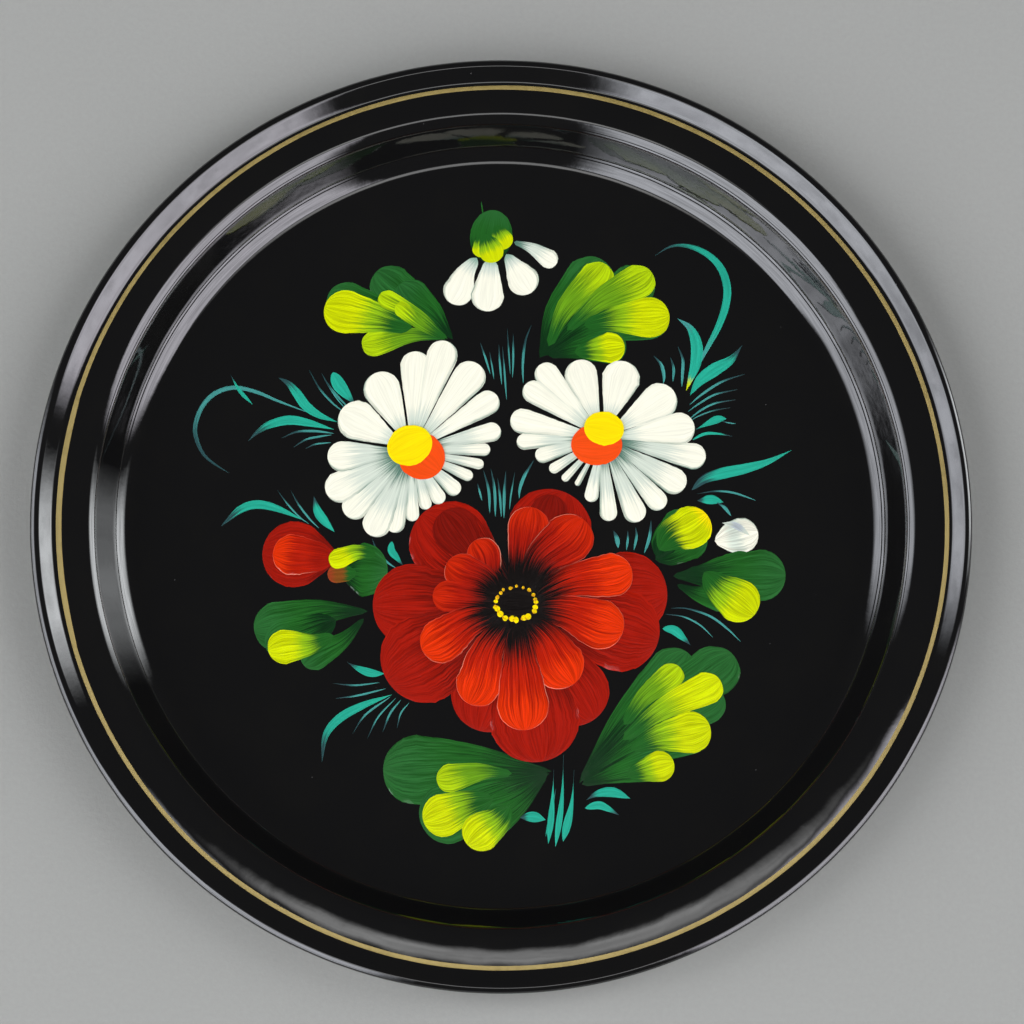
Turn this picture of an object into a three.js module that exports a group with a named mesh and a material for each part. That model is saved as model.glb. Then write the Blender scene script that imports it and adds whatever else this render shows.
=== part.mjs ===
// Painted tray in the Zhostovo manner: a round tray pressed from thin steel sheet, with a stepped wall,
// a narrow flange, an edge rolled over a stiffening wire, a gold border line and a bouquet in oil paint.
// Millimetres, +Z up. The origin is the centre of the underside, where the tray rests.
// Each film of paint is a thin solid lying on the black floor of the tray, one to each painted motif.

import * as THREE from 'three';

// Driving dimensions of the pressed sheet
const TRAY_RADIUS = 125;        // outside of the rolled edge
const SHEET = 0.75;             // steel sheet with its primer and lacquer
const FLOOR_RADIUS = 98;        // where the flat floor ends and the wall begins to rise
const COVE_RADIUS = 6.8;        // inside corner between floor and wall
const WALL_SLOPE = deg(57);     // steepest slope of the wall
const WALL_LENGTH = 7.5;        // straight part of the wall, along its slope
const SHOULDER_RADIUS = 4.2;    // corner between wall and flange
const FLANGE_WIDTH = 7.35;      // from the shoulder's crest to the valley outside it
const FLANGE_DROOP = deg(9.6);  // the flange crowns and falls outward to this slope
const VALLEY_RADIUS = 2.3;      // channel at the foot of the outer lip
const LIP_SLOPE = deg(38);      // outer lip that climbs to the rolled edge
const ROLL_RADIUS = 1.6;        // outside radius of the rolled edge
const ROLL_END = deg(-150);     // where the rolled sheet stops, seen from the roll's centre
const WIRE_GAP = 0.3;           // clearance between wire and roll

// Facets: round the tray, and along each arc of its section
const AROUND = 60;
const STEPS = { cove: 4, shoulder: 3, flange: 2, lineOnFlange: 1, lineInValley: 1, lip: 2, roll: 10, wire: 6 };

// Points along each outline of paint
const OUTLINE = { redFlower: 72, stamens: 24, daisy: 96, eye: 20, fan: 48, stroke: 8 };

// Paint
const FILM = 0.125;             // thickness of one film of oil paint
const LINE_FILM = 0.125;        // thickness of the gold line
const LINE_START = 0.85 * FLANGE_DROOP;  // the line starts where the flange falls this much
const LINE_END = deg(2);                 // and ends where the valley has begun to climb this much

const COLOURS = {
  lacquer: 0x101010,
  steel: 0x8a8c8e,
  gold: 0xb89650,
  red: 0xa51905,
  orange: 0xe83705,
  white: 0xfafae8,
  yellow: 0xffe400,
  leaf: 0x2f6a1e,
  turquoise: 0x30beaa,
};

function deg(angle) {
  return (angle * Math.PI) / 180;
}

function point(x, y) {
  return new THREE.Vector2(x, y);
}

function material(colour, roughness, metalness) {
  return new THREE.MeshStandardMaterial({ color: COLOURS[colour], roughness, metalness });
}

function named(name, geometry, finish) {
  const mesh = new THREE.Mesh(geometry, finish);
  mesh.name = name;
  return mesh;
}

// Points of a circular arc, both ends included
function arc(centre, radius, start, end, steps) {
  const points = [];
  for (let i = 0; i <= steps; i += 1) {
    const angle = start + ((end - start) * i) / steps;
    points.push(point(centre.x + radius * Math.cos(angle), centre.y + radius * Math.sin(angle)));
  }
  return points;
}

// A closed section (radius, height) turned about the tray's axis
function turned(section) {
  const geometry = new THREE.LatheGeometry(section, AROUND);
  geometry.rotateX(Math.PI / 2);
  return geometry;
}

// The sheet's arcs from the floor outward. Each turns about its own centre, and bend is +1 where the
// centre lies above the sheet and -1 where it lies below. Radii are those of the sheet's upper face.
function sheetArcs() {
  const cove = { bend: 1, radius: COVE_RADIUS, centre: point(FLOOR_RADIUS, SHEET + COVE_RADIUS) };
  const corners = COVE_RADIUS + SHOULDER_RADIUS;
  const rise = corners * (1 - Math.cos(WALL_SLOPE)) + WALL_LENGTH * Math.sin(WALL_SLOPE);
  const run = corners * Math.sin(WALL_SLOPE) + WALL_LENGTH * Math.cos(WALL_SLOPE);
  const crest = point(FLOOR_RADIUS + run, SHEET + rise);
  const shoulder = { bend: -1, radius: SHOULDER_RADIUS, centre: point(crest.x, crest.y - SHOULDER_RADIUS) };

  const crown = (FLANGE_WIDTH - VALLEY_RADIUS * Math.sin(FLANGE_DROOP)) / Math.sin(FLANGE_DROOP);
  const flange = { bend: -1, radius: crown, centre: point(crest.x, crest.y - crown) };
  const valleyAcross = crest.x + FLANGE_WIDTH;
  const valleyUp = crest.y - crown + (crown + VALLEY_RADIUS) * Math.cos(FLANGE_DROOP);
  const valley = { bend: 1, radius: VALLEY_RADIUS, centre: point(valleyAcross, valleyUp) };

  // the roll's centre lies where the lip's straight slope touches both the valley's arc and the roll
  const rollAcross = TRAY_RADIUS - ROLL_RADIUS;
  const reach = VALLEY_RADIUS + ROLL_RADIUS;
  const lipRun = rollAcross - valleyAcross - reach * Math.sin(LIP_SLOPE);
  const rollUp = valleyUp - reach * Math.cos(LIP_SLOPE) + lipRun * Math.tan(LIP_SLOPE);
  const roll = { bend: -1, radius: ROLL_RADIUS, centre: point(rollAcross, rollUp) };
  return { cove, shoulder, flange, valley, roll };
}

// One arc's points on the sheet's upper face, or on its lower face when offset is the sheet's thickness
function sheetArc({ bend, radius, centre }, startSlope, endSlope, steps, offset = 0) {
  const level = deg(-90) * bend;
  return arc(centre, radius + bend * offset, level + startSlope, level + endSlope, steps);
}

// The stretch of the sheet that the gold line covers, seen offset below its upper face
function lineStretch(arcs, offset) {
  return [
    ...sheetArc(arcs.flange, -LINE_START, -FLANGE_DROOP, STEPS.lineOnFlange, offset),
    ...sheetArc(arcs.valley, -FLANGE_DROOP, LINE_END, STEPS.lineInValley, offset).slice(1),
  ];
}

function sheetFace(arcs, offset) {
  return [
    ...sheetArc(arcs.cove, 0, WALL_SLOPE, STEPS.cove, offset),
    ...sheetArc(arcs.shoulder, WALL_SLOPE, 0, STEPS.shoulder, offset),
    ...sheetArc(arcs.flange, 0, -LINE_START, STEPS.flange, offset).slice(1),
    ...lineStretch(arcs, offset).slice(1),
    ...sheetArc(arcs.valley, LINE_END, LIP_SLOPE, STEPS.lip, offset).slice(1),
    ...sheetArc(arcs.roll, LIP_SLOPE, ROLL_END - deg(90), STEPS.roll, offset),
  ];
}

function trayBody(arcs) {
  const upper = sheetFace(arcs, 0);
  const lower = sheetFace(arcs, SHEET);
  return turned([point(0, 0), ...lower, ...upper.reverse(), point(0, SHEET)]);
}

function rimWire(arcs) {
  const radius = ROLL_RADIUS - SHEET - WIRE_GAP;
  return turned(arc(arcs.roll.centre, radius, 0, 2 * Math.PI, STEPS.wire));
}

function goldBorderLine(arcs) {
  const painted = lineStretch(arcs, 0);
  const top = lineStretch(arcs, -LINE_FILM).reverse();
  return turned([...painted, ...top, painted[0]]);
}

// How far a petal with a round end reaches from its base, in the direction of angle. The petal's
// sides run straight from the base to the circle at its end.
function petalReach(base, [x, y, radius], angle) {
  const away = Math.hypot(x - base[0], y - base[1]);
  const off = angle - Math.atan2(y - base[1], x - base[0]);
  const miss = away * Math.sin(off);
  if (Math.cos(off) < 0 || Math.abs(miss) > radius) return 0;
  return away * Math.cos(off) + Math.sqrt(radius * radius - miss * miss);
}

// A film in the outline of petals that fan from one base: each petal is [x, y, radius] of its round end
function petalFan(base, core, petals, steps, level = 0) {
  const outline = [];
  for (let i = 0; i < steps; i += 1) {
    const angle = (2 * Math.PI * i) / steps;
    const reach = Math.max(core, ...petals.map((petal) => petalReach(base, petal, angle)));
    outline.push(point(base[0] + reach * Math.cos(angle), base[1] + reach * Math.sin(angle)));
  }
  return film(outline, [], level);
}

// A film in the outline of one brush stroke: it follows the points, swells to its half width and
// tapers to both ends
function brushStroke(points, halfWidth) {
  const steps = OUTLINE.stroke;
  const spine = new THREE.SplineCurve(points.map(([x, y]) => point(x, y)));
  const left = [];
  const right = [];
  for (let i = 0; i <= steps; i += 1) {
    const t = i / steps;
    const middle = spine.getPoint(t);
    const along = spine.getTangent(t);
    const half = halfWidth * Math.sin(Math.PI * t);
    if (i === 0 || i === steps) {
      left.push(middle);
    } else {
      left.push(point(middle.x - along.y * half, middle.y + along.x * half));
      right.push(point(middle.x + along.y * half, middle.y - along.x * half));
    }
  }
  return film([...left, ...right.reverse()], [], 0);
}

// A flat film of paint on the tray's floor, or on top of the films below it
function film(outline, holes, level) {
  const shape = new THREE.Shape(outline);
  shape.holes = holes.map((hole) => new THREE.Path(hole));
  const geometry = new THREE.ExtrudeGeometry(shape, { depth: FILM, bevelEnabled: false });
  geometry.translate(0, 0, SHEET + level * FILM);
  return geometry;
}

function ellipse([x, y], across, up, steps) {
  return arc(point(0, 0), 1, 0, 2 * Math.PI, steps)
    .slice(0, steps)
    .map((p) => point(x + across * p.x, y + up * p.y));
}

// The sheet, the wire in its edge and the border line
function trayGroup() {
  const arcs = sheetArcs();
  const group = new THREE.Group();
  group.add(named('tray_body', trayBody(arcs), material('lacquer', 0.12, 0.1)));
  group.add(named('rim_wire', rimWire(arcs), material('steel', 0.4, 1)));
  group.add(named('gold_border_line', goldBorderLine(arcs), material('gold', 0.4, 0.6)));
  return group;
}

// The large red flower: dark back petals, bright front petals on top of them, and a ring of stamens
const RED_FLOWER = [4, -21.5];
const RED_BACK_PETALS = [
  [-14, -5.5, 10.3],
  [13, -1, 10.5],
  [33, -18, 11.5],
  [32, -29, 10.5],
  [20, -45, 9],
  [9, -52, 11.5],
  [-3, -46, 9.5],
  [-20, -36, 11.5],
  [-23, -22, 11],
];
const RED_FRONT_PETALS = [
  [-10, -9, 5],
  [6, 0, 4.5],
  [18, -3, 6],
  [30, -14, 5.5],
  [27, -27, 6.5],
  [16, -38, 6],
  [5.5, -49.5, 6],
  [-7, -43.5, 5],
  [-16, -31.5, 5.5],
  [-15, -19.5, 6],
];
const RED_FLOWER_CORE = 8;
const STAMEN_RING = { across: 5.6, up: 4.4, width: 1.1 };

function redFlower() {
  const group = new THREE.Group();
  const { across, up, width } = STAMEN_RING;
  const ring = ellipse(RED_FLOWER, across, up, OUTLINE.stamens);
  const hole = ellipse(RED_FLOWER, across - width, up - width, OUTLINE.stamens);
  const back = petalFan(RED_FLOWER, RED_FLOWER_CORE, RED_BACK_PETALS, OUTLINE.redFlower);
  const front = petalFan(RED_FLOWER, RED_FLOWER_CORE, RED_FRONT_PETALS, OUTLINE.redFlower, 1);
  group.add(named('red_flower_back_petals', back, material('red', 0.35, 0)));
  group.add(named('red_flower_front_petals', front, material('orange', 0.35, 0)));
  group.add(named('red_flower_stamens', film(ring, [hole], 2), material('yellow', 0.35, 0)));
  return group;
}

// The two daisies: white petals round a yellow and orange eye
const DAISIES = [
  {
    name: 'daisy_left',
    base: [-23.5, 20],
    eye: [-23.2, 19.2, 7.6, 7],
    petals: [
      [-32, 36.5, 5], [-38.5, 28, 5.2], [-42.5, 18.3, 4.3], [-43, 10, 4.5], [-39, 4.5, 3.8], [-33.2, 0, 4],
      [-28.3, 0, 2.6], [-23.8, 2.6, 1.9], [-20.3, 6, 1.8], [-16.8, 7.3, 2], [-12.8, 9.8, 2.1], [-9, 13.2, 1.5],
      [-6, 16.3, 1.4], [-4.5, 20.2, 1.8], [-2.5, 25, 2.8], [-3.6, 33, 3.2], [-8.5, 40, 4.3], [-15.8, 46, 4],
      [-23, 43, 4],
    ],
  },
  {
    name: 'daisy_right',
    base: [27.5, 23.5],
    eye: [26.7, 23, 7.3, 7.3],
    petals: [
      [32.5, 39.5, 5], [42.8, 33.5, 4.8], [48, 26, 4.2], [51.8, 18.5, 3.6], [46.5, 11.8, 3.8], [42, 6.5, 2.8],
      [36, 3.5, 3.2], [29, 3.2, 2.5], [24.5, 7.9, 1.9], [17.5, 12.6, 1], [14.5, 15.2, 1.3], [11.5, 18.8, 2.2],
      [6.5, 22.4, 2.2], [6, 28, 3.3], [9, 36, 3], [12.5, 40.8, 3.2], [21.8, 40.5, 4.3],
    ],
  },
];

const DAISY_CORE = 8.5;

function daisies() {
  const group = new THREE.Group();
  for (const { name, base, eye, petals } of DAISIES) {
    const [x, y, across, up] = eye;
    const disc = film(ellipse([x, y], across, up, OUTLINE.eye), [], 1);
    const rays = petalFan(base, DAISY_CORE, petals, OUTLINE.daisy);
    group.add(named(`${name}_petals`, rays, material('white', 0.35, 0)));
    group.add(named(`${name}_eye`, disc, material('yellow', 0.35, 0)));
  }
  return group;
}

// Half-open flower, buds and leaves, each a fan of round-ended strokes from its base
const FANS = [
  {
    name: 'half_daisy',
    colour: 'white',
    base: [-1.5, 77],
    core: 4,
    ends: [[-11.5, 64, 4], [-3.5, 62.5, 4.3], [6, 66.7, 4], [13, 72.6, 2.4], [-3, 81.5, 5], [-4, 75.5, 4]],
  },
  {
    name: 'red_bud',
    colour: 'red',
    base: [-46, -10],
    core: 4,
    ends: [[-55, -8.3, 8.8], [-38.7, -12.5, 7.3]],
  },
  {
    name: 'white_bud',
    colour: 'white',
    base: [63, -3],
    core: 3,
    ends: [[61, -2.5, 4.5], [65.3, -3, 4.3]],
  },
  {
    name: 'leaf_top_left',
    colour: 'leaf',
    base: [-13, 51.5],
    core: 0.8,
    ends: [[-30, 65.5, 5.5], [-42, 58.5, 6], [-33.5, 49.5, 3], [-24, 62, 5]],
  },
  {
    name: 'leaf_top_right',
    colour: 'leaf',
    base: [12, 46],
    core: 0.8,
    ends: [[24, 67, 6.5], [36.5, 66, 5], [40, 56.5, 5.6], [30, 48.2, 3.3]],
  },
  {
    name: 'leaf_left',
    colour: 'leaf',
    base: [-35.7, -24.3],
    core: 0.8,
    ends: [[-58, -27.5, 6.3], [-55.5, -33, 5], [-48, -34.5, 4.5]],
  },
  {
    name: 'leaf_right_upper',
    colour: 'leaf',
    base: [42.4, -8.3],
    core: 0.8,
    ends: [[50, -1.2, 6], [49.8, -5, 5]],
  },
  {
    name: 'leaf_right_lower',
    colour: 'leaf',
    base: [48.5, -14.5],
    core: 0.8,
    ends: [[68.5, -14.8, 6.6], [63, -20.5, 5.7]],
  },
  {
    name: 'leaf_bottom_right',
    colour: 'leaf',
    base: [21, -69.5],
    core: 0.8,
    ends: [[48, -38.5, 5.6], [56, -41, 7], [53, -47, 6], [51, -56, 6], [42, -65, 4]],
  },
  {
    name: 'leaf_bottom_left',
    colour: 'leaf',
    base: [13, -66.6],
    core: 0.6,
    ends: [[-22, -66, 8.6], [-13, -76, 7.5], [-5, -82, 5]],
  },
];

function fans() {
  const group = new THREE.Group();
  for (const { name, colour, base, core, ends } of FANS) {
    group.add(named(name, petalFan(base, core, ends, OUTLINE.fan), material(colour, 0.35, 0)));
  }
  return group;
}

// Turquoise grass, curls and stems: one film to each full stroke. Their hairlines are too fine to stand
// as solids.
const STROKES = [
  ['curl_left', 0.5, [[-73.5, 14.5], [-81, 21], [-82, 28.5], [-77, 35.7], [-69, 36.6], [-61, 33.6], [-55.5, 31]]],
  ['leaf_left_spray_upper', 1.1, [[-59.5, 39.7], [-55.5, 36.5], [-52.3, 33], [-48.5, 30.2], [-44.6, 28.4]]],
  ['leaf_left_spray_lower', 1.1, [[-68, 23], [-64, 26.3], [-58, 28.2], [-52, 27.5], [-45.5, 25.8]]],
  ['leaf_left_spray_bud', 1.6, [[-45, 40.8], [-43.3, 37.5], [-40.5, 34.5], [-39.4, 33.4]]],
  ['curl_right', 1.1, [[42, 73.6], [50, 76.4], [57.5, 73], [61.5, 66], [60.8, 58], [57.5, 50]]],
  ['leaf_right_spray_tall', 1.6, [[48, 56.2], [51.5, 53], [53.2, 48], [52, 42], [50, 36.6]]],
  ['leaf_right_spray_wide', 1.9, [[65.5, 49], [60.5, 43.8], [56, 40.7], [52.2, 36]]],
  ['leaf_right_spray_small', 1.1, [[52.8, 25.4], [56.5, 27.4], [60.8, 29]]],
  ['leaf_right_low_long', 1.5, [[51.5, 9.5], [57, 12.7], [65, 14.7], [72, 16.8], [78.5, 20]]],
  ['leaf_right_low_small', 1.1, [[53.5, 6.6], [57.5, 6.8], [59.7, 5.5], [61.5, 2.8]]],
  ['leaf_bud_spray_long', 1, [[-73.5, 0.3], [-69, 3.8], [-64.5, 5.2], [-59, 3.7], [-54, 1.4]]],
  ['leaf_bud_spray_small', 1.1, [[-50.5, 7.5], [-49.5, 3.5], [-47.3, 0.3], [-45, -2]]],
  ['leaf_daisy_spray', 0.9, [[-29, -5.4], [-29, -7.5], [-26.7, -10.3]]],
  ['leaf_low_spray_long', 1.1, [[-47.2, -62], [-45.5, -55.5], [-40, -50.3], [-29.6, -46.4]]],
  ['leaf_low_spray_small', 1, [[-40, -38], [-37, -39.5], [-34.5, -40.5], [-32.2, -40.5]]],
  ['leaf_flower_spray', 1.2, [[43.6, -28.5], [46.6, -28.7], [48.6, -30.4], [50, -32.2]]],
  ['stem_left', 0.8, [[13.9, -69], [13.4, -77], [12.7, -84]]],
  ['stem_middle', 0.7, [[16.6, -66.5], [16, -76], [14.9, -86]]],
  ['stem_right', 1, [[19.4, -68], [18.7, -76], [17.4, -85]]],
  ['stem_leaf_left', 1.3, [[5.2, -78.8], [8.5, -79], [11.4, -78.8]]],
  ['stem_leaf_upper', 1.2, [[22.8, -74], [28, -72.6], [34, -73.5]]],
  ['stem_leaf_lower', 1, [[22.5, -76.3], [27, -76], [31.5, -78]]],
];

function turquoiseStrokes() {
  const group = new THREE.Group();
  for (const [name, halfWidth, points] of STROKES) {
    group.add(named(name, brushStroke(points, halfWidth), material('turquoise', 0.35, 0)));
  }
  return group;
}

const tray = new THREE.Group();
tray.add(trayGroup(), redFlower(), daisies(), fans(), turquoiseStrokes());

export default tray;
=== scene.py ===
"""Looks of the painted tray: lacquered pressed sheet, gold line and a bouquet laid on stroke by stroke.

Places and sizes below are in millimetres in the tray's frame (+Z up, the origin under its centre),
and MM turns them into Blender's metres. Every brush stroke is its own closed film of paint.
"""

import math

import bpy
import numpy as np
from mathutils import Matrix, Vector, noise


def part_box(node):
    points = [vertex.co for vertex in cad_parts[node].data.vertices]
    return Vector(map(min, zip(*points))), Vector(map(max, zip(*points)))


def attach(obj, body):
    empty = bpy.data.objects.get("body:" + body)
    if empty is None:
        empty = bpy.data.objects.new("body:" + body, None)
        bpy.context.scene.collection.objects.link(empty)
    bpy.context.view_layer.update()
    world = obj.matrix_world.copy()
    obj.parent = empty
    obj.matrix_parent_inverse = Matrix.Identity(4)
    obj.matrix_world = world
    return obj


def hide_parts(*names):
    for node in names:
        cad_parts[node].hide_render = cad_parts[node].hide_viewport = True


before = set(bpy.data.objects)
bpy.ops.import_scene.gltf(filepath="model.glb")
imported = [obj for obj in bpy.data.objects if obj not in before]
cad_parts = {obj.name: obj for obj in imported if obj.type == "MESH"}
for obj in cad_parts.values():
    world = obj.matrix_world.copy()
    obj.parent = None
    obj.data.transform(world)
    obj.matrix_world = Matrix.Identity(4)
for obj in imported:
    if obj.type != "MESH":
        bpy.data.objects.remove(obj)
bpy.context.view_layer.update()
scene = bpy.context.scene

MM = 0.001

# ------------------------ the pressed sheet, as in the CAD
TRAY_RADIUS = round(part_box("tray_body")[1].y / MM, 1)
SHEET = 0.75
FLOOR_RADIUS = 98.0
COVE_RADIUS = 6.8
WALL_SLOPE = math.radians(57)
WALL_LENGTH = 7.5
SHOULDER_RADIUS = 4.2
FLANGE_WIDTH = 7.35
FLANGE_DROOP = math.radians(9.6)
VALLEY_RADIUS = 2.3
LIP_SLOPE = math.radians(38)
ROLL_RADIUS = 1.6
ROLL_END = math.radians(-150)
WIRE_RADIUS = 0.55
AROUND = 540  # facets round the tray
ROLL_STEPS = 30  # and along the rolled edge
BARE_STEPS = 12  # the last of them, inside the roll, that the back's coat doesn't reach
OFF_CENTRE = 0.6  # the flange's valley is pressed this far towards +X

# ------------------------ paint
FILM = 0.05  # thickness of the thinnest film
LEVEL = 0.014  # each later stroke lies this much higher
CROWN = 0.011  # how far a stroke's middle stands above its edges
EDGE_HALF = 0.03  # half width at a stroke's sharp end
UNDERLAP = 0.002  # how far a film's foot stands above the sheet


def ink(red, green, blue):
    """A paint colour, given as it looks on a screen (0 to 255), in linear light."""
    return tuple(
        c / 12.92 if c <= 0.04045 else ((c + 0.055) / 1.055) ** 2.4
        for c in (red / 255, green / 255, blue / 255)
    )


BLACK = ink(16, 12, 11)
DARK_RED = ink(156, 21, 6)
DEEP_RED = ink(120, 15, 5)
RED = ink(178, 27, 4)
ORANGE_RED = ink(222, 49, 2)
PINK = ink(255, 176, 150)
WHITE = ink(250, 249, 232)
PALE = ink(214, 224, 212)
SAGE = ink(134, 172, 156)
DARK_SAGE = ink(84, 124, 110)
YELLOW = ink(255, 226, 0)
OCHRE = ink(226, 168, 24)
ORANGE = ink(243, 78, 18)
LIME = ink(206, 220, 0)
SPRING = ink(140, 186, 22)
LEAF = ink(30, 92, 30)
DARK_LEAF = ink(8, 46, 18)
TURQUOISE = ink(36, 170, 146)
TEAL = ink(68, 150, 146)
DIM_TEAL = ink(40, 74, 78)


# ======================== materials
class Nodes:
    """A node tree under construction: adds nodes and links them in one call each."""

    def __init__(self, name=None, tree=None):
        if tree is None:
            self.material = bpy.data.materials.new(name)
            self.material.use_nodes = True
            tree = self.material.node_tree
        self.tree = tree
        self.shader = tree.nodes.get("Principled BSDF")

    def feed(self, socket, value):
        if isinstance(value, bpy.types.NodeSocket):
            self.tree.links.new(value, socket)
        elif isinstance(value, (tuple, list)) and len(value) == 3 and socket.type == "RGBA":
            socket.default_value = (*value, 1.0)
        else:
            socket.default_value = value

    def node(self, kind, inputs=None, **settings):
        made = self.tree.nodes.new("ShaderNode" + kind)
        for key, value in settings.items():
            setattr(made, key, value)
        for key, value in (inputs or {}).items():
            self.feed(made.inputs[key], value)
        return made

    def math(self, operation, first, second=0.0, clamp=False):
        made = self.node("Math", {0: first, 1: second}, operation=operation, use_clamp=clamp)
        return made.outputs[0]

    def times(self, first, second):
        return self.math("MULTIPLY", first, second)

    def between(self, value, low, high, start=0.0, end=1.0):
        """Smoothly from start to end as value goes from low to high."""
        made = self.node(
            "MapRange",
            {"Value": value, "From Min": low, "From Max": high, "To Min": start, "To Max": end},
            interpolation_type="SMOOTHSTEP",
        )
        return made.outputs["Result"]

    def mix(self, share, first, second, blend="MIX"):
        made = self.node("Mix", data_type="RGBA", blend_type=blend, clamp_factor=True)
        self.feed(made.inputs["Factor"], share)
        self.feed(made.inputs[6], first)
        self.feed(made.inputs[7], second)
        return made.outputs[2]

    def split(self, vector):
        parts = self.node("SeparateXYZ", {"Vector": vector}).outputs
        return parts[0], parts[1], parts[2]

    def join(self, x, y, z):
        return self.node("CombineXYZ", {"X": x, "Y": y, "Z": z}).outputs[0]

    def place(self):
        """The point on the tray, in metres."""
        return self.node("TexCoord").outputs["Object"]

    def noise(self, where, scale, detail=2.0, roughness=0.5):
        inputs = {"Vector": where, "Scale": scale, "Detail": detail, "Roughness": roughness}
        return self.node("TexNoise", inputs).outputs["Fac"]

    def attribute(self, name):
        return self.node("Attribute", attribute_name=name).outputs["Vector"]

    def bump(self, height, distance, strength, normal=None):
        inputs = {"Height": height, "Distance": distance, "Strength": strength}
        if normal is not None:
            inputs["Normal"] = normal
        return self.node("Bump", inputs).outputs["Normal"]

    def surface(self, **inputs):
        for key, value in inputs.items():
            self.feed(self.shader.inputs[key.replace("_", " ")], value)
        return self.material


def specks(n, where, cell, size, share):
    """1 on small specks scattered over the surface: cell is their spacing and size their radius, in mm,
    and share is how many of the cells hold one."""
    inputs = {"Vector": where, "Scale": 1 / (cell * MM), "Randomness": 1.0}
    cells = n.node("TexVoronoi", inputs, voronoi_dimensions="3D", feature="F1")
    chosen = n.node("SeparateColor", {"Color": cells.outputs["Color"]})
    close = n.between(cells.outputs["Distance"], size / cell, 0.4 * size / cell)
    return n.times(close, n.math("LESS_THAN", chosen.outputs[0], share))


def lacquer_material():
    """Deep black oven lacquer on the upper side: glossy, with a slight orange peel, dust and scuffs."""
    n = Nodes("black_lacquer_gloss")
    where = n.place()
    peel = n.noise(where, 1 / (2.6 * MM), 3.0, 0.45)
    grit = n.noise(where, 1 / (0.35 * MM), 2.0, 0.6)
    handled = n.between(n.noise(where, 1 / (22 * MM), 4.0, 0.55), 0.42, 0.7)
    dust = specks(n, where, 4.2, 0.11, 0.22)
    fluff = specks(n, where, 13.0, 0.2, 0.3)
    dusty = n.math("MAXIMUM", dust, fluff)
    normal = n.bump(peel, 0.014 * MM, 0.6)
    normal = n.bump(grit, 0.004 * MM, n.between(handled, 0.0, 1.0, 0.08, 0.5), normal)
    normal = n.bump(dusty, 0.05 * MM, 0.7, normal)
    colour = n.mix(handled, (0.0036, 0.0036, 0.0038), (0.0042, 0.0041, 0.0040))
    colour = n.mix(n.times(dusty, 0.5), colour, (0.16, 0.155, 0.145))
    roughness = n.between(handled, 0.0, 1.0, 0.035, 0.06)
    return n.surface(
        Base_Color=colour,
        Roughness=n.math("MAXIMUM", roughness, n.times(dusty, 0.6)),
        Normal=normal,
        IOR=1.52,
    )


def back_lacquer_material():
    """The underside: one thin coat of black, duller, brushed on and scuffed where it has stood."""
    n = Nodes("black_lacquer_back")
    where = n.place()
    brushed = n.node("Mapping", {"Vector": where, "Scale": (0.12, 1.0, 1.0)}).outputs[0]
    streaks = n.noise(brushed, 1 / (1.6 * MM), 4.0, 0.6)
    mottle = n.noise(where, 1 / (9 * MM), 5.0, 0.6)
    scuffs = n.between(n.noise(where, 1 / (3 * MM), 6.0, 0.75), 0.62, 0.72)
    colour = n.mix(mottle, (0.007, 0.007, 0.0075), (0.014, 0.0135, 0.013))
    colour = n.mix(n.times(scuffs, 0.55), colour, (0.055, 0.052, 0.048))
    return n.surface(
        Base_Color=colour,
        Roughness=n.between(mottle, 0.25, 0.75, 0.34, 0.58),
        Normal=n.bump(n.math("ADD", streaks, scuffs), 0.03 * MM, 0.35),
    )


def steel_material():
    """Bare steel wire, dulled, with rust where damp gets into the roll."""
    n = Nodes("rim_wire_steel")
    where = n.place()
    rust = n.between(n.noise(where, 1 / (4 * MM), 5.0, 0.65), 0.52, 0.68)
    return n.surface(
        Base_Color=n.mix(rust, (0.34, 0.34, 0.35), (0.13, 0.05, 0.022)),
        Metallic=n.between(rust, 0.0, 1.0, 1.0, 0.1),
        Roughness=n.between(rust, 0.0, 1.0, 0.34, 0.85),
    )


def gold_material():
    """Bronze powder bound in varnish, drawn with a liner brush: uneven in cover and in shine."""
    n = Nodes("gold_line_paint")
    where = n.place()
    cover = n.noise(where, 1 / (1.1 * MM), 4.0, 0.6)
    pools = n.noise(where, 1 / (14 * MM), 3.0, 0.5)
    colour = n.mix(cover, (0.175, 0.130, 0.038), (0.325, 0.247, 0.080))
    colour = n.mix(n.between(pools, 0.35, 0.7), colour, (0.29, 0.22, 0.072))
    return n.surface(
        Base_Color=colour,
        Metallic=0.12,
        Roughness=n.between(cover, 0.3, 0.7, 0.42, 0.62),
        Specular_IOR_Level=0.25,
        Normal=n.bump(cover, 0.02 * MM, 0.5),
    )


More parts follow.
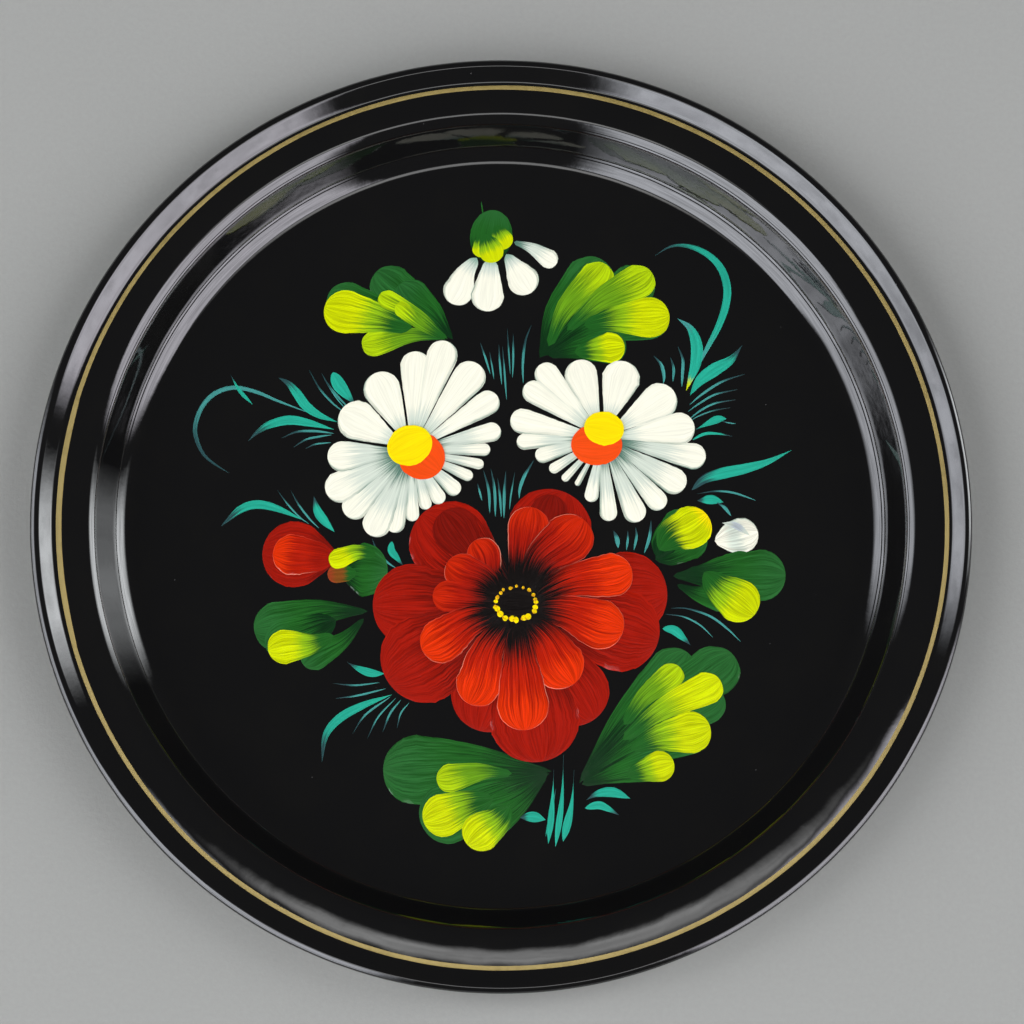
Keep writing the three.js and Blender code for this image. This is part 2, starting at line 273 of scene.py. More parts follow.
def paint_material(name, contrast, gloss):
    """Oil paint as a loaded brush leaves it. Each stroke carries its own colours as attributes, from its
    foot to its end, and the bristles draw them out into streaks."""
    n = Nodes(name)
    along, across, seed = n.split(n.attribute("stroke"))
    widest, length, from_edge = n.split(n.attribute("size"))
    body_from, end_from, softness = n.split(n.attribute("ramp"))
    fringe_width, fringe_share, _ = n.split(n.attribute("fringe"))

    # bristle marks: fine across the stroke, long along it
    side = n.times(across, widest)
    run = n.times(along, length)

    def bristles(per_mm_across, per_mm_along, detail):
        where = n.join(n.times(side, per_mm_across), n.times(run, per_mm_along), n.times(seed, 7.3))
        return n.noise(where, 1.0, detail, 0.55)

    coarse = bristles(1.9, 0.06, 2.0)
    fine = bristles(5.6, 0.14, 3.0)
    streak = n.math("SUBTRACT", n.math("ADD", coarse, fine), 1.0)

    # the three colours of the brush, each drawn into the next by the bristles
    drawn = n.math("ADD", along, n.times(streak, n.times(softness, 2.7)))

    def past(stop):
        return n.between(drawn, n.math("SUBTRACT", stop, softness), n.math("ADD", stop, softness))

    colour = n.mix(past(body_from), n.attribute("ink_foot"), n.attribute("ink_body"))
    colour = n.mix(past(end_from), colour, n.attribute("ink_end"))

    # a second paint picked up by one side of the brush
    near = n.math("SUBTRACT", 1.0, n.math("DIVIDE", from_edge, fringe_width), clamp=True)
    ragged = n.between(fine, 0.36, 0.6, 0.1, 1.0)
    share = n.times(n.times(near, fringe_share), ragged)
    colour = n.mix(share, colour, n.attribute("ink_fringe"))

    shade = n.between(streak, -0.3, 0.3, 1.0 - contrast, 1.0 + 0.55 * contrast)
    colour = n.mix(1.0, colour, n.join(shade, shade, shade), "MULTIPLY")
    return n.surface(
        Base_Color=colour,
        Roughness=n.between(fine, 0.25, 0.75, gloss, gloss + 0.12),
        Specular_IOR_Level=0.25,
        Normal=n.bump(streak, 0.05 * MM, 0.3),
    )


def paper_material():
    """Plain pale grey card, with a faint felt grain."""
    n = Nodes("studio_card")
    where = n.place()
    felt = n.noise(where, 1 / (1.3 * MM), 5.0, 0.7)
    cloud = n.noise(where, 1 / (60 * MM), 3.0, 0.5)
    colour = n.mix(felt, (0.300, 0.306, 0.302), (0.362, 0.369, 0.364))
    colour = n.mix(n.times(cloud, 0.35), colour, (0.370, 0.374, 0.368))
    return n.surface(
        Base_Color=colour,
        Roughness=0.9,
        Specular_IOR_Level=0.2,
        Normal=n.bump(felt, 0.12 * MM, 0.6),
    )


# ======================== turned metal
def arc(centre, radius, start, end, steps):
    turns = np.linspace(start, end, steps + 1)
    return [(centre[0] + radius * math.cos(a), centre[1] + radius * math.sin(a)) for a in turns]


def sheet_arcs():
    """The sheet's arcs from the floor outward, as (centre, radius, bend): bend is +1 where the centre
    lies above the sheet and -1 where it lies below. Radii are those of the upper face."""
    reach = COVE_RADIUS + SHOULDER_RADIUS
    run = reach * math.sin(WALL_SLOPE) + WALL_LENGTH * math.cos(WALL_SLOPE)
    rise = reach * (1 - math.cos(WALL_SLOPE)) + WALL_LENGTH * math.sin(WALL_SLOPE)
    crest = (FLOOR_RADIUS + run, SHEET + rise)
    crown = FLANGE_WIDTH / math.sin(FLANGE_DROOP) - VALLEY_RADIUS
    valley_out = crest[0] + FLANGE_WIDTH
    valley_up = crest[1] - crown + (crown + VALLEY_RADIUS) * math.cos(FLANGE_DROOP)
    roll_out = TRAY_RADIUS - ROLL_RADIUS
    bends = VALLEY_RADIUS + ROLL_RADIUS
    lip_run = roll_out - valley_out - bends * math.sin(LIP_SLOPE)
    roll_up = valley_up - bends * math.cos(LIP_SLOPE) + lip_run * math.tan(LIP_SLOPE)
    return {
        "cove": ((FLOOR_RADIUS, SHEET + COVE_RADIUS), COVE_RADIUS, 1),
        "shoulder": ((crest[0], crest[1] - SHOULDER_RADIUS), SHOULDER_RADIUS, -1),
        "flange": ((crest[0], crest[1] - crown), crown, -1),
        "valley": ((valley_out, valley_up), VALLEY_RADIUS, 1),
        "roll": ((roll_out, roll_up), ROLL_RADIUS, -1),
    }


def sheet_arc(arcs, name, start_slope, end_slope, steps, offset=0.0):
    centre, radius, bend = arcs[name]
    level = math.radians(-90) * bend
    return arc(centre, radius + bend * offset, level + start_slope, level + end_slope, steps)


FLOOR_EDGE = 95.0  # inside this the floor is flat
EASE = 0.45  # pressing rounds off every change of curvature over about this length
FINE = 0.1  # spacing of the points that are eased


def eased(points):
    """The same line, evenly spaced and with its changes of curvature rounded off."""
    line = np.array(points)
    gone = np.concatenate([[0], np.cumsum(np.linalg.norm(np.diff(line, axis=0), axis=1))])
    even = np.linspace(0, gone[-1], int(gone[-1] / FINE))
    span = 3 * int(EASE / FINE)
    bell = np.exp(-0.5 * (np.arange(-span, span + 1) * FINE / EASE) ** 2)
    bell /= bell.sum()
    columns = []
    for k in (0, 1):
        column = np.pad(np.interp(even, gone, line[:, k]), span, mode="reflect", reflect_type="odd")
        columns.append(np.convolve(column, bell, mode="valid"))
    kept = np.unique(np.append(np.arange(0, len(even), 4), len(even) - 1))
    return [(float(columns[0][i]), float(columns[1][i])) for i in kept]


def sheet_face(arcs, offset):
    pressed = [
        (FLOOR_EDGE, SHEET - offset),
        *sheet_arc(arcs, "cove", 0, WALL_SLOPE, 24, offset),
        *sheet_arc(arcs, "shoulder", WALL_SLOPE, 0, 24, offset),
        *sheet_arc(arcs, "flange", 0, -FLANGE_DROOP, 24, offset)[1:],
    ]
    return [
        *eased(pressed),
        *sheet_arc(arcs, "valley", -FLANGE_DROOP, LIP_SLOPE, 12, offset)[1:],
        *sheet_arc(arcs, "roll", LIP_SLOPE, ROLL_END - math.radians(90), ROLL_STEPS, offset),
    ]


def new_piece(name, verts, faces, material, stands_for, sharp_angle=60):
    """A closed mesh. Its edges that bend by more than sharp_angle degrees stay sharp."""
    mesh = bpy.data.meshes.new(name)
    mesh.from_pydata([tuple(c * MM for c in v) for v in verts], [], faces)
    mesh.materials.append(material)
    mesh.shade_smooth()
    mesh.set_sharp_from_angle(angle=math.radians(sharp_angle))
    piece = bpy.data.objects.new(name, mesh)
    scene.collection.objects.link(piece)
    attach(piece, "root")
    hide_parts(*stands_for)
    return piece


def turned(section, around, shape=lambda r, z, angle: (r, z)):
    """Vertices and quads of a closed section (radius, height) turned about the tray's axis. shape may
    move a section point at an angle, for the unevenness of hand work."""
    count = len(section)
    verts = []
    faces = []
    for j in range(around):
        angle = 2 * math.pi * j / around
        for r, z in section:
            out, up = shape(r, z, angle)
            verts.append((out * math.cos(angle), out * math.sin(angle), up))
        after = (j + 1) % around
        for i in range(count):
            k = (i + 1) % count
            faces.append((j * count + i, after * count + i, after * count + k, j * count + k))
    return verts, faces


def press_unevenness(r, z, angle):
    """How far the pressed and hammered rim strays from a perfect turned shape."""
    share = min(1.0, max(0.0, (r - FLOOR_RADIUS) / 6))
    around = Vector((math.cos(angle), math.sin(angle), 0))
    slow = noise.noise(around * 2.3 + Vector((r * 0.02, 0, 4.0)))
    quick = noise.noise(around * 15 + Vector((0, 0, r * 0.16)))
    ripple = noise.noise(around * 46 + Vector((0, 0, r * 0.22)))
    across = 0.05 * slow + 0.03 * quick + 0.008 * ripple
    pressed = max(0.0, min((r - 103) / 15, 1, 1 - (r - 119) / 9))
    out = r + share * across + OFF_CENTRE * pressed * math.cos(angle)
    return out, z + share * (0.04 * slow + 0.025 * quick + 0.008 * ripple)


def tray_shell(arcs, lacquer, back):
    """The pressed sheet as one closed shell. Its rings on the flat floor close on the axis."""
    floor_rings = [84.0, 66.0, 44.0, 22.0, 6.0]
    lower = [(r, 0.0) for r in reversed(floor_rings)] + sheet_face(arcs, SHEET)
    upper = sheet_face(arcs, 0.0)[::-1] + [(r, SHEET) for r in floor_rings]
    section = lower + upper
    verts, faces = turned(section, AROUND, press_unevenness)
    count = len(section)
    # turned() also joins the section's last point to its first: here those faces give way to two fans
    faces = [f for i, f in enumerate(faces) if i % count != count - 1]
    under, over = len(verts), len(verts) + 1
    verts += [(0, 0, 0), (0, 0, SHEET)]
    for j in range(AROUND):
        after = (j + 1) % AROUND
        faces.append((under, after * count, j * count))
        faces.append((over, j * count + count - 1, after * count + count - 1))
    piece = new_piece("tray_shell", verts, faces, lacquer, ["tray_body"], 50)
    piece.data.materials.append(back)
    # the back's duller coat runs up to the outside of the rolled edge
    coated = len(lower) - BARE_STEPS
    quads = AROUND * (count - 1)
    for index, polygon in enumerate(piece.data.polygons):
        beneath = index % (count - 1) < coated if index < quads else (index - quads) % 2 == 0
        polygon.material_index = int(beneath)


def rim_wire(arcs, steel):
    centre = arcs["roll"][0]
    section = arc(centre, WIRE_RADIUS, 0, 2 * math.pi, 16)[:-1]
    verts, faces = turned(section, AROUND // 2)
    new_piece("edge_wire", verts, faces, steel, ["rim_wire"])


GOLD_HALF = 0.58  # half width of the gold line
GOLD_MIDDLE = 118.06
GOLD_ASIDE = 0.35  # the line's circle lies this far towards the front
GOLD_FILM = 0.045
GOLD_AROUND = 720


def gold_line(arcs, gold):
    """One line drawn freehand on the flange's foot as the tray turns. It is a closed strip that follows
    the sheet, and where the brush came round again the ends run side by side."""
    radii, heights = zip(*sheet_face(arcs, 0.0)[:-ROLL_STEPS])
    steps = 8
    sides = [2 * k / steps - 1 for k in range(steps + 1)]

    def strip(start, end, shift, half):
        verts = []
        faces = []
        count = int((end - start) / (2 * math.pi) * GOLD_AROUND)
        ring = 2 * (steps + 1)
        whole = end - start >= 2 * math.pi - 1e-6
        rows = count if whole else count + 1
        for j in range(rows):
            t = j / count
            angle = start + (end - start) * t
            turn = Vector((math.cos(angle), math.sin(angle), 0))
            drift = 0.09 * noise.noise(turn * 3.1) + 0.035 * noise.noise(turn * 17)
            swell = 1 + 0.09 * noise.noise(turn * 9 + Vector((5, 0, 0)))
            taper = 1.0 if whole else min(1.0, 6 * t, 6 * (1 - t)) ** 0.6 + 0.02
            across = half * swell * taper
            middle = GOLD_MIDDLE + shift + drift - GOLD_ASIDE * turn.y
            outs = [middle + across * side for side in sides]
            ups = [float(np.interp(r, radii, heights)) for r in outs]
            domes = [GOLD_FILM * (1 - 0.65 * side ** 2) for side in sides]
            top = [(r, z + d) for r, z, d in zip(outs, ups, domes)]
            foot = [(r, z - 0.004) for r, z in zip(outs, ups)][::-1]
            for r, z in top + foot:
                out, up = press_unevenness(r, z, angle)
                verts.append((out * turn.x, out * turn.y, up))
        for j in range(count):
            after = (j + 1) % rows
            for i in range(ring):
                k = (i + 1) % ring
                faces.append((j * ring + i, j * ring + k, after * ring + k, after * ring + i))
        if not whole:
            faces.append(tuple(range(ring))[::-1])
            faces.append(tuple((rows - 1) * ring + i for i in range(ring)))
        return verts, faces

    verts, faces = strip(0, 2 * math.pi, 0.0, GOLD_HALF)
    # the two ends of the drawn line, which overlap beside the main one for a hand's breadth
    more, more_faces = strip(math.radians(164), math.radians(197), -0.62, 0.34)
    faces += [tuple(v + len(verts) for v in f) for f in more_faces]
    verts += more
    new_piece("gold_line", verts, faces, gold, ["gold_border_line"])


# ======================== brush strokes
def curve_through(points, shares):
    """A smooth curve through the points (Catmull-Rom), at the given shares of its length."""
    p = np.array(points, float)
    p = np.vstack([2 * p[0] - p[1], p, 2 * p[-1] - p[-2]])
    fine = []
    for i in range(1, len(p) - 2):
        for t in np.linspace(0, 1, 16, endpoint=False):
            a = 2 * p[i]
            b = p[i + 1] - p[i - 1]
            c = 2 * p[i - 1] - 5 * p[i] + 4 * p[i + 1] - p[i + 2]
            d = -p[i - 1] + 3 * p[i] - 3 * p[i + 1] + p[i + 2]
            fine.append((a + b * t + c * t * t + d * t ** 3) / 2)
    fine.append(p[-2])
    fine = np.array(fine)
    gone = np.concatenate([[0], np.cumsum(np.linalg.norm(np.diff(fine, axis=0), axis=1))])
    wanted = shares * gone[-1]
    return np.stack([np.interp(wanted, gone, fine[:, k]) for k in (0, 1)], -1), gone[-1]


def stroke(spine, along, half, length, load, fringe):
    """One stroke: points down its middle, how far along each lies (0 to 1) and the half width there."""
    return {"spine": spine, "along": along, "half": half, "length": length, "load": load, "fringe": fringe}


def petal(foot, end, radius, load, neck=0.9, bend=0.0, fringe=None):
    """A pressed stroke that swells from its foot to a round end: end is that end's centre. bend is how
    far the middle lies to the left of the straight way, and fringe is (colour, width, left, right)."""
    foot, end = np.array(foot, float), np.array(end, float)
    way = end - foot
    ahead = way / np.linalg.norm(way)
    left = np.array((-ahead[1], ahead[0]))
    tip = end + ahead * radius
    middle = foot + way * 0.5 + left * bend
    cap = 1 - radius / (np.linalg.norm(way) + radius)
    round_end = cap + (1 - cap) * np.sin(np.linspace(0, math.pi / 2, 15))
    along = np.concatenate([np.linspace(0, cap, 17)[:-1], round_end])
    spine, length = curve_through([foot, middle, end, tip], along)
    run = along * length
    straight = max(length * cap, 0.3)
    grown = np.clip(run / straight, 0, 1)
    half = neck + (radius - neck) * (1 - (1 - grown) ** 1.9) * (0.35 + 0.65 * grown)
    past = np.clip((run - straight) / (length - straight), 0, 0.9995)
    begun = np.clip(run / (1.2 * neck), 0, 1)
    half = half * np.sqrt(1 - past ** 2.15) * np.sqrt(begun)
    return stroke(spine, along, half, length, load, fringe)


def blade(points, half, load, fullest=0.5, fringe=None, sharp=1.0):
    """A stroke that starts and ends in a point: it is at its fullest that far along."""
    along = np.linspace(0, 1, 34 if half > 0.5 else 22)
    spine, length = curve_through(points, along)
    power = math.log(0.5) / math.log(fullest)
    width = half * np.sin(np.pi * along ** power) ** sharp
    return stroke(spine, along, width, length, load, fringe)


def dab(centre, across, up, tilt, load, fringe=None):
    """An oval touch of the brush, round at both ends: tilt is the way it was drawn, in degrees."""
    way = np.array((math.cos(math.radians(tilt)), math.sin(math.radians(tilt))))
    turns = np.linspace(0, math.pi, 27)
    along = 0.5 - 0.5 * np.cos(turns)
    spine = np.array(centre) + np.outer((2 * along - 1) * across, way)
    return stroke(spine, along, up * np.sin(turns), 2 * across, load, fringe)


def hair(points, half=0.26, load=None):
    return blade(points, half, load or HAIR, fullest=0.55, sharp=0.7)


def inks(foot, body, end, stops=(0.3, 0.7), soft=0.12):
    """The colours along a stroke, from its foot to its end, and where along it each gives way."""
    return {"colours": (foot, body, end), "stops": stops, "soft": soft}


def lay_stroke(store, laid, seed, height):
    """Adds one stroke to the store as a closed film: a ridged top, two flat sides and a foot."""
    spine, half = laid["spine"], np.maximum(laid["half"], EDGE_HALF)
    widest = float(half.max())
    rows = len(spine)
    columns = 5 if widest < 0.5 else 9 if widest < 2 else 17
    ahead = np.gradient(spine, axis=0)
    ahead /= np.linalg.norm(ahead, axis=1)[:, None]
    left = np.stack([-ahead[:, 1], ahead[:, 0]], -1)
    foot, body, end = laid["load"]["colours"]
    fringe = laid["fringe"] or (body, 1.0, 0.0, 0.0)
    first = len(store["verts"])
    across = np.linspace(-1, 1, columns)
    ridges = [noise.noise(Vector((v * widest * 1.7, 0, seed * 3.1))) for v in across]

    def add(place, up, along, v, from_edge, side):
        store["verts"].append((place[0], place[1], SHEET + up))
        store["stroke"].append((along, v, seed))
        store["size"].append((widest, laid["length"], from_edge))
        store["fringe"].append((fringe[1], side, 0.0))

    for i, along in enumerate(laid["along"]):
        wobble = 1 + 0.05 * noise.noise(Vector((along * laid["length"] * 0.9, seed * 5.7, 0)))
        for j, v in enumerate(across):
            dome = CROWN * (1 - abs(v) ** 2.5) * (0.65 + 0.35 * ridges[j]) * min(1, 2 * half[i] / widest)
            side = fringe[2] if v > 0.02 else fringe[3] if v < -0.02 else 0.0
            side = side * min(1.0, max(0.0, (along - 0.25) * 3))
            place = spine[i] + left[i] * (v * half[i] * wobble)
            add(place, height + dome, along, v, (1 - abs(v)) * half[i], side)
    for i, along in enumerate(laid["along"]):
        for v in (-1, 1):
            add(spine[i] + left[i] * (v * half[i]), UNDERLAP, along, v, 0.0, 0.0)
    added = len(store["verts"]) - first
    store["ramp"] += [(*laid["load"]["stops"], laid["load"]["soft"])] * added
    for key, colour in zip(("ink_foot", "ink_body", "ink_end"), (foot, body, end)):
        store[key] += [colour] * added
    store["ink_fringe"] += [fringe[0]] * added

    def top(i, j):
        return first + i * columns + j

    def under(i, right):
        return first + rows * columns + i * 2 + right

    last = columns - 1
    faces = store["faces"]
    for i in range(rows - 1):
        for j in range(last):
            faces.append((top(i, j), top(i, j + 1), top(i + 1, j + 1), top(i + 1, j))[::-1])
        faces.append((top(i, 0), top(i + 1, 0), under(i + 1, 0), under(i, 0))[::-1])
        faces.append((top(i + 1, last), top(i, last), under(i, 1), under(i + 1, 1))[::-1])
        faces.append((under(i, 0), under(i + 1, 0), under(i + 1, 1), under(i, 1))[::-1])
    start = [under(0, 0), *(top(0, j) for j in range(columns)), under(0, 1)]
    faces.append(tuple(start))
    stop = [under(rows - 1, 0), *(top(rows - 1, j) for j in range(columns)), under(rows - 1, 1)]
    faces.append(tuple(stop[::-1]))


STROKE_DATA = ("stroke", "size", "ramp", "fringe", "ink_foot", "ink_body", "ink_end", "ink_fringe")


def painted(name, strokes, base_height, material, stands_for):
    """A motif: its strokes in the order they were laid, each a little above the one before."""
    store = {key: [] for key in ("verts", "faces", *STROKE_DATA)}
    for index, laid in enumerate(strokes):
        seed = 1.37 * index + sum(map(ord, name)) % 29
        lay_stroke(store, laid, seed, FILM + base_height + LEVEL * index)
    piece = new_piece(name, store["verts"], store["faces"], material, stands_for, 42)
    for key in STROKE_DATA:
        data = piece.data.attributes.new(key, "FLOAT_VECTOR", "POINT").data
        data.foreach_set("vector", np.array(store[key], np.float32).ravel())


# ------------------------ what the brush was loaded with
BACK_PETAL = inks(BLACK, DEEP_RED, DARK_RED, (0.34, 0.62), 0.15)
SHADE_PETAL = inks(BLACK, DEEP_RED, DEEP_RED, (0.3, 0.9), 0.12)
FRONT_PETAL = inks(BLACK, RED, ORANGE_RED, (0.33, 0.68), 0.17)
UPPER_PETAL = inks(BLACK, DARK_RED, ink(192, 35, 4), (0.4, 0.74), 0.18)
WHITE_PETAL = inks(SAGE, PALE, WHITE, (0.12, 0.3), 0.1)
THIN_WHITE = inks(DARK_SAGE, PALE, WHITE, (0.26, 0.66), 0.14)
DARK = inks(DARK_LEAF, LEAF, ink(38, 98, 44), (0.34, 0.75), 0.2)
LIGHT = inks(LEAF, SPRING, LIME, (0.34, 0.56), 0.12)
MIDDLE = inks(LEAF, ink(104, 156, 24), ink(176, 208, 10), (0.32, 0.74), 0.16)
GRASS = inks(DIM_TEAL, TURQUOISE, TURQUOISE, (0.22, 0.9), 0.1)
GRASS_BACK = inks(TURQUOISE, TURQUOISE, DIM_TEAL, (0.2, 0.8), 0.1)
HAIR = inks(DIM_TEAL, TEAL, TEAL, (0.35, 0.9), 0.12)

# paint picked up besides: its colour and width, and its share at the left and the right
PINK_BOTH = (PINK, 0.24, 0.6, 0.6)
PINK_LEFT = (PINK, 0.26, 0.8, 0.1)
PINK_RIGHT = (PINK, 0.26, 0.1, 0.8)
DIM_EDGE = (RED, 0.5, 0.5, 0.5)
SAGE_LEFT = (DARK_SAGE, 0.9, 1.0, 0.25)
SAGE_RIGHT = (DARK_SAGE, 0.9, 0.25, 1.0)


# ------------------------ the red flower
RED_FLOWER = np.array((4.0, -21.5))


def from_heart(end, start):
    """The point that lies start from the red flower's centre, on the way to end."""
    way = np.array(end, float) - RED_FLOWER
    return RED_FLOWER + way / np.linalg.norm(way) * start


def red_flower(paint):
    backs = [
        ((-13.2, -5.2), 11.2), ((13, -1.8), 11.3), ((33.2, -19), 11.5), ((31.6, -28.6), 11),
        ((19.6, -45), 9.3), ((-3, -46), 10), ((9, -52), 12), ((-23, -22), 11.2), ((-20, -36), 12),
    ]
    strokes = [
        petal(from_heart(end, 1.5), end, radius, BACK_PETAL, 3.4, fringe=DIM_EDGE)
        for end, radius in backs
    ]
    strokes += [
        petal((-3, -14), (-12, -1.8), 6.2, SHADE_PETAL, 2),
        petal((10, -10), (13, 3), 5, SHADE_PETAL, 2),
    ]
    painted("red_flower_back", strokes, 0.0, paint, ["red_flower_back_petals"])

    fronts = [
        ((-4.6, -8.5), 4.6, UPPER_PETAL, PINK_RIGHT, 1.6), ((-10, -13), 5, UPPER_PETAL, PINK_LEFT, -1),
        ((7.5, -1), 5.6, UPPER_PETAL, PINK_LEFT, 0), ((18, -4), 6.8, UPPER_PETAL, PINK_LEFT, 2),
        ((29.5, -13.8), 5.9, FRONT_PETAL, PINK_BOTH, 1.5), ((26.4, -27), 6.7, FRONT_PETAL, PINK_BOTH, 1),
        ((15.6, -37.6), 6.8, FRONT_PETAL, PINK_RIGHT, 1), ((-14, -19.6), 4.2, UPPER_PETAL, DIM_EDGE, 0),
        ((-15.6, -31.4), 6, FRONT_PETAL, PINK_LEFT, -1.2), ((-5.9, -43), 6, FRONT_PETAL, PINK_BOTH, -1.5),
        ((6, -48.6), 6.9, FRONT_PETAL, PINK_BOTH, 0),
    ]
    strokes = [
        petal(from_heart(end, 5.2), end, radius, load, 2.7, bend, fringe)
        for end, radius, load, fringe, bend in fronts
    ]
    strokes.append(dab(RED_FLOWER, 5.6, 5.0, 0, inks(*[BLACK] * 3)))
    painted("red_flower_front", strokes, 0.17, paint, ["red_flower_front_petals"])


STAMEN_RING = np.array((5.5, 4.4))
STAMENS = 21


def stamens(paint):
    """Dots of thick yellow round the heart, biggest on the near side."""
    strokes = []
    dice = np.random.default_rng(5)
    for i in range(STAMENS):
        angle = 2 * math.pi * (i + dice.uniform(-0.3, 0.3)) / STAMENS
        near = 0.5 - 0.5 * math.sin(angle)
        size = 0.46 + 0.42 * near * dice.uniform(0.6, 1.1)
        stray = dice.uniform(-0.35, 0.35)
        outward = np.array((math.cos(angle), math.sin(angle)))
        place = RED_FLOWER + outward * (STAMEN_RING + stray)
        start = place - np.array((-outward[1], outward[0])) * size * dice.uniform(0.6, 1.4)
        load = inks(OCHRE, YELLOW if near > 0.4 else OCHRE, YELLOW, (0.25, 0.8))
        strokes.append(petal(start, place, size, load, 0.8 * size))
    painted("stamens", strokes, 0.36, paint, ["red_flower_stamens"])


# ------------------------ daisies
DAISIES = {"left": {
    "heart": (-24.0, 20.0),
    "petals": [
        ((-32, 36.5), 5), ((-23, 43), 4.1), ((-8.5, 40), 4.4), ((-15.8, 46), 4.1), ((-3.6, 33), 3.3),
        ((-2.5, 25), 2.9), ((-4.5, 20.2), 1.9), ((-6, 16.3), 1.6), ((-9, 13.2), 1.7), ((-20.3, 5.6), 1.9),
        ((-16.8, 7.3), 2.2), ((-12.8, 9.8), 2.4), ((-23.8, 2.6), 2.1), ((-28.3, 0.2), 2.9), ((-39, 4.8), 4),
        ((-33.2, 0.2), 4.2), ((-43, 10), 4.7), ((-38.5, 28), 5.4), ((-42.5, 18.3), 4.6),
    ],
    "orange": ((-21.3, 18.3), 6.4, 6.2, -40),
    "yellow": ((-24.5, 21.3), 6.2, 5.4, 25),
}, "right": {
    "heart": (27.5, 23.5),
    "petals": [
        ((12.5, 40.8), 3.3), ((9, 36), 3.1), ((21.8, 40.5), 4.4), ((32.5, 39.5), 5.1), ((42.8, 33.5), 4.9),
        ((51.8, 18.5), 3.9), ((48, 26), 4.4), ((46.5, 11.8), 4), ((42, 6.5), 3.1), ((36, 3.5), 3.4),
        ((24.5, 7.9), 2.1), ((29, 3.2), 2.6), ((20.8, 11.2), 0.9), ((17.5, 12.6), 1.2), ((14.5, 15.2), 1.6),
        ((6.5, 22.4), 2.4), ((11.5, 18.8), 2.4), ((6, 28), 3.4),
    ],
    "orange": ((25.9, 21.6), 6.9, 5.6, 0),
    "yellow": ((27.9, 26), 5.4, 4.6, -8),
}}


def daisy(hand, flower, paint):
    heart = np.array(flower["heart"])
    strokes = []
    for end, radius in flower["petals"]:
        away = np.linalg.norm(np.array(end) - heart)
        foot = heart + (np.array(end) - heart) * (3.0 / away)
        shaded = end[1] < heart[1] or radius < 3
        load = THIN_WHITE if shaded else WHITE_PETAL
        fringe = SAGE_RIGHT if end[0] > heart[0] else SAGE_LEFT
        width = radius * (0.9 if shaded else 1)
        strokes.append(petal(foot, end, width, load, min(0.7, 0.35 * radius), fringe=fringe))
    painted(f"{hand}_daisy_petals", strokes, 0.1, paint, [f"daisy_{hand}_petals"])
    eye = [
        dab(*flower["orange"], inks(*[ORANGE] * 3)),
        dab(*flower["yellow"], inks(*[YELLOW] * 3)),
    ]
    painted(f"{hand}_daisy_eye", eye, 0.4, paint, [f"daisy_{hand}_eye"])


def half_daisy(paint):
    strokes = [
        petal((3.6, 77.4), (13, 72.8), 2.6, THIN_WHITE, 0.5, 0.6, SAGE_LEFT),
        petal((-6.5, 73), (-11.5, 64), 4.1, WHITE_PETAL, 1.2, -0.6, SAGE_RIGHT),
        petal((1.5, 74), (6, 67), 4.3, WHITE_PETAL, 1.0, 0, SAGE_LEFT),
        petal((-2.6, 73), (-3.6, 62.6), 4.4, WHITE_PETAL, 1.6, 0, SAGE_RIGHT),
        hair([(-4.6, 84), (-5, 86.4), (-5.3, 88.6)], 0.2, DARK),
        dab((-2.6, 79), 7.3, 5.7, 82, DARK),
        petal((-5.4, 79.4), (-5.2, 75.6), 2.5, LIGHT, 1.4),
        petal((-1.4, 82), (0.4, 78.2), 2.9, LIGHT, 1.4),
        petal((-4.4, 79.6), (-2.6, 75), 3.4, LIGHT, 1.8),
    ]
    painted("half_open_daisy", strokes, 0.0, paint, ["half_daisy"])


def buds(paint):
    bud_back = inks(DEEP_RED, DARK_RED, DARK_RED, (0.3, 0.8))
    bud_front = inks(DARK_RED, RED, ORANGE_RED, (0.4, 0.75))
    green_over_red = inks(LEAF, ink(128, 74, 26), ink(150, 62, 30), (0.4, 0.8))
    strokes = [
        petal((-44, -9), (-55, -8.3), 8.9, bud_back, 6, fringe=DIM_EDGE),
        petal((-44, -9.4), (-55.6, -8.4), 5.5, bud_front, 3, 0, PINK_LEFT),
        petal((-43.6, -12.2), (-37.6, -12.4), 7.3, DARK, 5.4),
        petal((-38.6, -13.2), (-44, -13.6), 2.4, green_over_red, 2),
        petal((-33.4, -8.4), (-43.4, -9.4), 2.7, LIGHT, 1.4, -1.2),
    ]
    painted("red_bud", strokes, 0.0, paint, ["red_bud"])

    strokes = [
        petal((57.6, -4.6), (64.6, -3), 4.7, inks(WHITE, PALE, WHITE, (0.3, 0.62)), 3.2, fringe=SAGE_LEFT),
        blade([(59.6, 0.4), (63.4, -0.4), (67, -3)], 0.9, inks(PALE, ink(186, 196, 204), PALE)),
    ]
    painted("white_bud", strokes, 0.0, paint, ["white_bud"])


